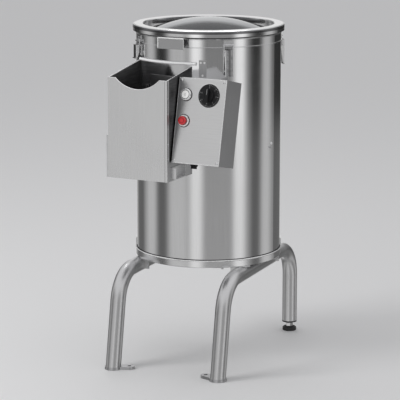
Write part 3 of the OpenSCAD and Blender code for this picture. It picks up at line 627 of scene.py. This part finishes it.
def stamp(name, places, sample, finish, body):
    """One copy of a sample mesh, drawn along +Z, at each (point, direction)."""
    tree, start, end = fresh_tree(name + "_tree", [
        ("Sample", "NodeSocketObject", None), ("Size", "NodeSocketFloat", 1.0)])
    copies = tree.nodes.new("GeometryNodeInstanceOnPoints")
    info = tree.nodes.new("GeometryNodeObjectInfo")
    aim = tree.nodes.new("GeometryNodeInputNamedAttribute")
    aim.data_type = "FLOAT_VECTOR"
    aim.inputs["Name"].default_value = "aim"
    turn = tree.nodes.new("FunctionNodeAlignRotationToVector")
    turn.axis = "Z"
    solid = tree.nodes.new("GeometryNodeRealizeInstances")
    coat = tree.nodes.new("GeometryNodeSetMaterial")
    coat.inputs["Material"].default_value = finish
    link(tree, start, "Geometry", copies, "Points")
    link(tree, start, "Sample", info, "Object")
    link(tree, info, "Geometry", copies, "Instance")
    link(tree, aim, "Attribute", turn, "Vector")
    link(tree, turn, "Rotation", copies, "Rotation")
    link(tree, start, "Size", copies, "Scale")
    link(tree, copies, "Instances", solid, "Geometry")
    link(tree, solid, "Geometry", coat, "Geometry")
    link(tree, coat, "Geometry", end, "Geometry")
    base = bpy.data.meshes.new(name + "_points")
    base.from_pydata([tuple(p) for p, _ in places], [], [])
    attribute = base.attributes.new("aim", "FLOAT_VECTOR", "POINT")
    for i, (_, d) in enumerate(places):
        attribute.data[i].vector = d
    master = bpy.data.objects.new(name + "_sample", sample)
    bpy.context.collection.objects.link(master)
    evaluated(name, base, tree, {"Sample": master, "Size": 1.0}, finish, body)
    bpy.data.objects.remove(master)


def turned_sample(name, profile, steps=16):
    bm = bmesh.new()
    lathe(bm, profile, (0, 0, 0), (0, 0, 1), steps)
    bmesh.ops.recalc_face_normals(bm, faces=bm.faces)
    mesh = bpy.data.meshes.new(name)
    bm.to_mesh(mesh)
    bm.free()
    return mesh


rivet = turned_sample("rivet", [
    (0, 0), (0.0024, 0), (0.0023, 0.0005), (0.0017, 0.0011), (0.0008, 0.0014), (0, 0.0015)])
SWITCH_ANGLE = -113
plates = [(angle, 0.0019, 0.0095, (low, 0.8715)) for angle, low in (
    (-FRONT_LATCH, 0.8485), (FRONT_LATCH, 0.8165), (REAR_LATCH, 0.8165), (-REAR_LATCH, 0.8165))]
plates.append((SWITCH_ANGLE, 0.0179, 0.0125, (0.851, 0.891)))
rivet_places = [
    (around(angle, DRUM_R + out, z) + sideways(angle) * shift, outward(angle))
    for angle, out, half, heights in plates for shift in (-half, half) for z in heights]
for x in (-0.026, 0.0, 0.026):
    rivet_places.append((Vector((x, 0.206 + AXIS_Y - 0.0001, 0.8535)), Vector((0, 1, 0))))
stamp("rivet_heads", rivet_places, rivet, polished, "frame")

# Spot welds that hold the chute's rail and the bracket
weld = turned_sample("weld", [(0, 0), (0.0022, 0), (0.0016, 0.0003), (0, 0.0004)], 12)
weld_places = [
    (Vector((-0.135, -0.310 + AXIS_Y + 0.015 * j, 0.550 + 0.018 * i)), Vector((-1, 0, 0)))
    for i in range(6) for j in (0, 1)]
weld_places += [
    (Vector((0.049, y + AXIS_Y, z)), Vector((1, 0, 0)))
    for y in (-0.330, -0.215) for z in (0.60, 0.64, 0.68, 0.72, 0.76)]
stamp("spot_welds", weld_places, weld, edge_steel, "frame")

# Ticks round the timer's dial, long at every fifth
DIAL_U, DIAL_V = 0.092, 0.182
TICKS, TICK_TURN, TICK_R, TICK_OUT = 31, 9.6, 0.0290, 0.00302


def dial_spot(angle, r, out):
    a = math.radians(angle)
    return on_face(DIAL_U + r * math.sin(a), DIAL_V + r * math.cos(a), out)


bm = bmesh.new()
for i in range(TICKS):
    angle = TICK_TURN * i
    length, width = (0.0044, 0.00055) if i % 5 == 0 else (0.0026, 0.00035)
    inner, outer = (dial_spot(angle, r, TICK_OUT) for r in (TICK_R - length, TICK_R))
    across = (outer - inner).normalized().cross(FACE_OUT) * width
    corners = [inner - across, inner + across, outer + across, outer - across]
    low = [bm.verts.new(c) for c in corners]
    high = [bm.verts.new(c + FACE_OUT * 0.00012) for c in corners]
    bm.faces.new(high)
    for k in range(4):
        bm.faces.new((low[k], low[(k + 1) % 4], high[(k + 1) % 4], high[k]))
piece("dial_ticks", bm, print_grey, "frame", False)

# Minutes on the dial
MINUTE_TURN, MINUTE_R, MINUTE_OUT = 48, 0.0216, 0.00308
upright = Matrix((FACE_ACROSS, FACE_UP, FACE_OUT)).transposed().to_4x4()
bm = bmesh.new()
for i in range(7):
    curve = bpy.data.curves.new("minute_%d" % i, "FONT")
    curve.body = str(i)
    curve.size = 0.0052
    curve.align_x = "CENTER"
    curve.align_y = "CENTER"
    curve.extrude = 0.00006
    holder = bpy.data.objects.new("minute", curve)
    bpy.context.collection.objects.link(holder)
    depsgraph = bpy.context.evaluated_depsgraph_get()
    mesh = bpy.data.meshes.new_from_object(holder.evaluated_get(depsgraph))
    bpy.data.objects.remove(holder)
    spot = dial_spot(MINUTE_TURN * i, MINUTE_R, MINUTE_OUT)
    mesh.transform(Matrix.Translation(spot) @ upright)
    bm.from_mesh(mesh)
piece("dial_minutes", bm, print_grey, "frame", False)


def face_circle(u, v, r, out, steps=64):
    """Points of a circle that lies at a height over the control face."""
    return [
        on_face(u, v, out) + r * (math.cos(a) * FACE_ACROSS + math.sin(a) * FACE_UP)
        for a in (2 * math.pi * i / steps for i in range(steps))]


# Ring round the dial in near-white steel as a painted highlight, and black gaskets round and
# inside the button rings, which also stand in for the shade round the rings
BUTTON_U, START_V, STOP_V = 0.0245, 0.181, 0.112

bm = bmesh.new()
sweep(bm, face_circle(DIAL_U, DIAL_V, 0.0313, 0.0006), 0.0006, 8, closed=True)
piece("dial_bezel", bm, edge_steel, "frame")
bm = bmesh.new()
for v, high in ((START_V, 0.0066), (STOP_V, 0.0056)):
    sweep(bm, face_circle(BUTTON_U, v, 0.0168, 0.0006), 0.0008, 8, closed=True)
    sweep(bm, face_circle(BUTTON_U, v, 0.0115, high), 0.0008, 8, closed=True)
piece("button_gaskets", bm, black_rubber, "frame")
bm = bmesh.new()
sweep(bm, face_circle(BUTTON_U, STOP_V, 0.0066, 0.0139), 0.0006, 8, closed=True)
piece("stop_groove", bm, red_groove, "stop")

# Turned edges of the lid's handle, near-white steel lines that stand as painted highlights
bm = bmesh.new()
for y, z, thick in ((-0.2232, 0.8766, 0.0007), (-0.2236, 0.9046, 0.0019)):
    sweep(bm, [(-0.0385 + 0.0077 * i, y + AXIS_Y, z) for i in range(11)], thick, 8)
for x, thick in ((-0.0380, 0.0019), (0.0388, 0.0008)):
    sweep(bm, [(x, -0.2236 + AXIS_Y, 0.8772 + 0.0027 * i) for i in range(11)], thick, 8)
piece("handle_hem", bm, edge_steel, "lid")


def bar_on_face(bm, u0, u1, v0, v1, low, high):
    corners = [(u0, v0), (u1, v0), (u1, v1), (u0, v1)]
    a = [bm.verts.new(on_face(u, v, low)) for u, v in corners]
    b = [bm.verts.new(on_face(u, v, high)) for u, v in corners]
    bm.faces.new(b)
    bm.faces.new(a[::-1])
    for k in range(4):
        bm.faces.new((a[k], a[(k + 1) % 4], b[(k + 1) % 4], b[k]))


# Pointer on the knob and the mark on the start button
bm = bmesh.new()
bar_on_face(
    bm, DIAL_U - 0.0006, DIAL_U + 0.0006, DIAL_V + 0.002, DIAL_V + 0.0165, 0.0172, 0.0174)
piece("knob_pointer", bm, print_grey, "timer", False)
bm = bmesh.new()
bar_on_face(bm, 0.0238, 0.0252, 0.1775, 0.1845, 0.0077, 0.0079)
piece("start_mark", bm, gear_grey, "start", False)

# ---------------------------------------------------------------- chute edges

FRONT_Z, REAR_Z = 0.807, 0.836
CORNER_Y = -0.150 + AXIS_Y
HEM = 0.0016
half, depth = 0.066, 0.028
arc_r = (half * half + depth * depth) / (2 * depth)
arc_x, arc_z = -0.0405, FRONT_Z - depth + arc_r

bm = bmesh.new()
for x in (LEFT_X + HEM, RIGHT_X - HEM):
    drum_y = -math.sqrt(DRUM_R ** 2 - x ** 2) + AXIS_Y
    slope = (REAR_Z - FRONT_Z) / (CORNER_Y - FRONT_Y)
    rear = min(drum_y - 0.002, CORNER_Y)
    steps = 14
    path = [
        (x, FRONT_Y + HEM + (rear - FRONT_Y - HEM) * i / steps,
         FRONT_Z - 0.0008 + slope * (rear - FRONT_Y - HEM) * i / steps)
        for i in range(steps + 1)]
    sweep(bm, path, HEM, 10)
hem_y, hem_z = FRONT_Y + HEM, FRONT_Z - 0.0008
path = [(LEFT_X + HEM, hem_y, hem_z), (arc_x - half - 0.004, hem_y, hem_z)]
edge_angle = math.asin(half / arc_r)
for i in range(33):
    a = -edge_angle + 2 * edge_angle * i / 32
    path.append((arc_x + arc_r * math.sin(a), hem_y, arc_z - arc_r * math.cos(a) - 0.0006))
path += [(arc_x + half + 0.004, hem_y, hem_z), (RIGHT_X - HEM, hem_y, hem_z)]
sweep(bm, path, HEM, 10)
piece("chute_hem", bm, edge_steel, "frame")

# Two small bolt heads on the drum's right side
for spot, (turn, z, finish) in enumerate(((86.0, 0.606, edge_steel), (83.4, 0.597, foot_steel))):
    bm = bmesh.new()
    lathe(bm, [(0.0, 0.0026), (0.0022, 0.0022), (0.0036, 0.0008), (0.0038, -0.0006)],
          around(turn, DRUM_R, z), outward(turn), 20)
    piece("drum_bolt_%d" % spot, bm, finish, "frame")

# Rolled bead on the lip behind the chute, flat white as a painted highlight
LIP_START, LIP_TURN, LIP_STEPS = -38.4, 55.8, 88
bm = bmesh.new()
path = [
    around(LIP_START + i * LIP_TURN / LIP_STEPS, DRUM_R + 0.0040, REAR_Z + 0.0006)
    for i in range(LIP_STEPS + 1)]
sweep(bm, path, 0.0038, 20)
piece("lip_bead", bm, bead_painted_highlight, "frame")

# Folded edges along the chute's side walls
bm = bmesh.new()
for x in (RIGHT_X, LEFT_X):
    sweep(bm, [(x, FRONT_Y + 0.009, 0.542 + 0.0262 * i) for i in range(11)], 0.0007, 8)
piece("chute_folds", bm, foot_steel, "frame")

# Edge that closes the control box's face, bright as a painted highlight in near-white steel
bm = bmesh.new()
edge = [on_face(u, v, -0.0009) for u, v in (
    (0.0008, 0.0008), (0.1382, 0.0008), (0.1382, 0.2252), (0.0008, 0.2252))]
loop = []
for a, b in zip(edge, edge[1:] + edge[:1]):
    loop += [a.lerp(b, i / 12) for i in range(12)]
sweep(bm, loop, 0.0011, 8, closed=True)
piece("box_edge", bm, edge_steel, "frame")

# Sealed seam above the base band, and the band's rolled upper edge in near-white steel as a
# painted highlight
for name, r, z, thick, finish, slot in (
        ("band_seam", DRUM_R + 0.0006, 0.3008, 0.0007, black_rubber, "rubber"),
        ("band_bead", 0.2036, 0.2984, 0.0012, edge_steel, "panel_steel")):
    bm = bmesh.new()
    sweep(bm, [around(i * 2.5, r, z) for i in range(144)], thick, 8, closed=True)
    piece(name, bm, finish, "frame")



def drum_front(x):
    """The drum's front at x, half a millimetre out."""
    return -math.sqrt((DRUM_R + 0.0005) ** 2 - x ** 2) + AXIS_Y


# Weld beads where the box's bracket meets the drum
BRACKET_LEFT, BRACKET_RIGHT, WELD_R = 0.088, 0.148, 0.0013
bm = bmesh.new()
for x in (BRACKET_LEFT, BRACKET_RIGHT):
    sweep(bm, [(x, drum_front(x), 0.642 + 0.0058 * i) for i in range(11)], WELD_R, 8)
across = [BRACKET_LEFT + 0.003 * i for i in range(21)]
for z in (0.640, 0.702):
    sweep(bm, [(x, drum_front(x), z) for x in across], WELD_R, 8)
piece("bracket_welds", bm, foot_steel, "frame")



def coil(r, pitch, turns, steps=24):
    """Points of a thread as (first across, second across, along)."""
    return [
        (r * math.cos(2 * math.pi * i / steps), r * math.sin(2 * math.pi * i / steps),
         pitch * i / steps) for i in range(turns * steps)]


# Threads on the water inlet and on the rear foot's stud
INLET_X, INLET_Z = 0.07, 0.845
inlet_y = math.sqrt(DRUM_R ** 2 - INLET_X ** 2) + AXIS_Y + 0.0225
bm = bmesh.new()
sweep(
    bm, [(INLET_X + a, inlet_y + c, INLET_Z + b) for a, b, c in coil(0.0105, 0.0018, 9)],
    0.0004, 6)
piece("inlet_thread", bm, polished, "frame")
LEG_TURN, LEG_SHIFT = math.radians(5), -0.006
FOOT_X, FOOT_Y = 0.154, 0.268
stud_x = LEG_SHIFT + FOOT_X * math.cos(LEG_TURN) - FOOT_Y * math.sin(LEG_TURN)
stud_y = FOOT_Y * math.cos(LEG_TURN) + FOOT_X * math.sin(LEG_TURN) + AXIS_Y
bm = bmesh.new()
sweep(bm, [(stud_x + a, stud_y + b, 0.0215 + c) for a, b, c in coil(0.006, 0.0012, 3)], 0.00035, 6)
piece("stud_thread", bm, polished, "rear_foot")

# Loose grains of grit standing out of the disc
GRAINS = {"Density": 22000.0, "Grain": 0.0013, "Seed": 7}
tree, start, end = fresh_tree("grain_tree", [
    ("Density", "NodeSocketFloat", GRAINS["Density"]),
    ("Grain", "NodeSocketFloat", GRAINS["Grain"]), ("Seed", "NodeSocketInt", GRAINS["Seed"])])
spread = tree.nodes.new("GeometryNodeDistributePointsOnFaces")
stone = tree.nodes.new("GeometryNodeMeshIcoSphere")
stone.inputs["Subdivisions"].default_value = 1
size = tree.nodes.new("FunctionNodeRandomValue")
size.data_type = "FLOAT"
size.inputs[2].default_value = 0.5
size.inputs[3].default_value = 1.3
size.inputs["Seed"].default_value = 3
spin = tree.nodes.new("FunctionNodeRandomValue")
spin.data_type = "FLOAT_VECTOR"
spin.inputs[1].default_value = (6.28, 6.28, 6.28)
spin.inputs["Seed"].default_value = 5
copies = tree.nodes.new("GeometryNodeInstanceOnPoints")
solid = tree.nodes.new("GeometryNodeRealizeInstances")
coat = tree.nodes.new("GeometryNodeSetMaterial")
coat.inputs["Material"].default_value = abrasive
link(tree, start, "Geometry", spread, "Mesh")
link(tree, start, "Density", spread, "Density")
link(tree, start, "Seed", spread, "Seed")
link(tree, start, "Grain", stone, "Radius")
link(tree, spread, "Points", copies, "Points")
link(tree, stone, "Mesh", copies, "Instance")
tree.links.new(spin.outputs[0], copies.inputs["Rotation"])
tree.links.new(size.outputs[1], copies.inputs["Scale"])
link(tree, copies, "Instances", solid, "Geometry")
link(tree, solid, "Geometry", coat, "Geometry")
link(tree, coat, "Geometry", end, "Geometry")

DISC_TOP, WAVE_R, WAVE_Z = 0.586, 0.040, 0.558


def disc_height(x, y):
    """Top of the disc with its three waves, at a place measured from the drum's axis."""
    best = DISC_TOP
    for a in (0, 120, 240):
        ca, sa = math.cos(math.radians(a)), math.sin(math.radians(a))
        along, across = x * ca + y * sa, -x * sa + y * ca
        if along > 0 and abs(across) < WAVE_R:
            best = max(best, WAVE_Z + math.sqrt(WAVE_R ** 2 - across ** 2))
    return best


bm = bmesh.new()
rings, spokes = 40, 120
grid = [[
    bm.verts.new((
        r * math.cos(a), r * math.sin(a) + AXIS_Y, disc_height(r * math.cos(a), r * math.sin(a))))
    for a in (2 * math.pi * k / spokes for k in range(spokes))]
    for r in (0.038 + 0.144 * i / rings for i in range(rings + 1))]
for a, b in zip(grid, grid[1:]):
    for k in range(spokes):
        bm.faces.new((a[k], b[k], b[(k + 1) % spokes], a[(k + 1) % spokes]))
base = bpy.data.meshes.new("disc_top")
bm.to_mesh(base)
bm.free()
evaluated("disc_grains", base, tree, GRAINS, abrasive, "rotor", False)

# ---------------------------------------------------------------- stage, light and camera

SPAN = 45.0
floor_mesh = bpy.data.meshes.new("floor")
floor_mesh.from_pydata(
    [(-SPAN, -SPAN, 0), (SPAN, -SPAN, 0), (SPAN, SPAN, 0), (-SPAN, SPAN, 0)], [], [(0, 1, 2, 3)])
floor = bpy.data.objects.new("floor", floor_mesh)
bpy.context.collection.objects.link(floor)


def floor_finish(t, put):
    put("Base Color", (0.84, 0.84, 0.84))
    put("Roughness", 0.7)


dress(floor, material("floor_paper", floor_finish))
floor.visible_glossy = False

world = bpy.data.worlds.new("studio")
bpy.context.scene.world = world
world.use_nodes = True
studio = Tree(world.node_tree)
dx, dy, dz = studio.split(studio.node("ShaderNodeTexCoord", out="Generated"))
VIEW_TURN = math.radians(27.22)
bearing = dx.math("ARCTAN2", dy * -1.0)
turned = ((bearing - VIEW_TURN) / (2 * math.pi) + 0.5).math("FRACT")

# Grey studio walls that only the gloss sees, with a bright back wall and upright cards, each with
# its centre and half width in degrees from the camera's side, and its level
WALL, BRIGHT, HALF, DARK = 0.4, 0.85, 0.6, 0.15
CARD_SOFT = 7
CARDS = ((-140, 15, DARK), (-105, 10, HALF), (-80, 10, DARK), (-50, 15, HALF), (-20, 10, BRIGHT),
         (50, 10, BRIGHT), (80, 10, DARK), (105, 10, HALF), (145, 20, DARK))
bands = WALL + (turned - 0.5).math("ABSOLUTE").step(0.45, 0.5) * (BRIGHT - WALL)
for centre, half, level in CARDS:
    away = (turned - (centre / 360 + 0.5)).math("ABSOLUTE")
    inside = 1 - away.step((half - CARD_SOFT) / 360, (half + CARD_SOFT) / 360)
    bands = bands + inside * (level - WALL)

# The upper drum mirrors the cards more crisply
sky = dz.step(0.25, 0.6)
upper = dz.step(-0.172, -0.148) * (1 - dz.step(-0.06, -0.03))
crisp = bands.math("POWER", 2.0) * 1.5
reflected = studio.mix(sky, studio.mix(upper, bands, crisp), (0.80, 0.80, 0.81))
path = studio.make("ShaderNodeLightPath")
glossy = Sock(studio, path.outputs["Is Glossy Ray"])
camera_ray = Sock(studio, path.outputs["Is Camera Ray"])
ambient = studio.mix(glossy, (0.55, 0.55, 0.56), reflected)
final = studio.mix(camera_ray, ambient, (0.6, 0.6, 0.6))
background = studio.make("ShaderNodeBackground", {}, {"Color": final, "Strength": 1.0})
world_out = studio.make("ShaderNodeOutputWorld")
studio.tree.links.new(background.outputs[0], world_out.inputs[0])


def softbox(name, place, target, size, power):
    light = bpy.data.lights.new(name, "AREA")
    light.shape = "RECTANGLE"
    light.size, light.size_y = size
    light.energy = power
    holder = bpy.data.objects.new(name, light)
    holder.location = place
    holder.rotation_euler = (Vector(target) - Vector(place)).to_track_quat("-Z", "Y").to_euler()
    bpy.context.collection.objects.link(holder)
    holder.visible_glossy = False
    return holder


softbox("key_left", (-2.2, -2.6, 2.6), (0, 0, 0.6), (1.6, 1.6), 55)
strip = softbox("back_top", (-0.84, 1.66, 3.28), (0, 0, 0.92), (1.8, 0.36), 6)
strip.visible_glossy = True

camera_data = bpy.data.cameras.new("camera")
camera_data.lens = 179.26
camera_data.sensor_width = 36
camera_data.clip_end = 200
camera = bpy.data.objects.new("camera", camera_data)
camera.location = (2.47863, -4.853951, 1.53568)
camera.rotation_euler = (math.radians(90 - 11.47), 0, VIEW_TURN)
bpy.context.collection.objects.link(camera)
bpy.context.scene.camera = camera
bpy.context.scene.view_settings.view_transform = "Standard"
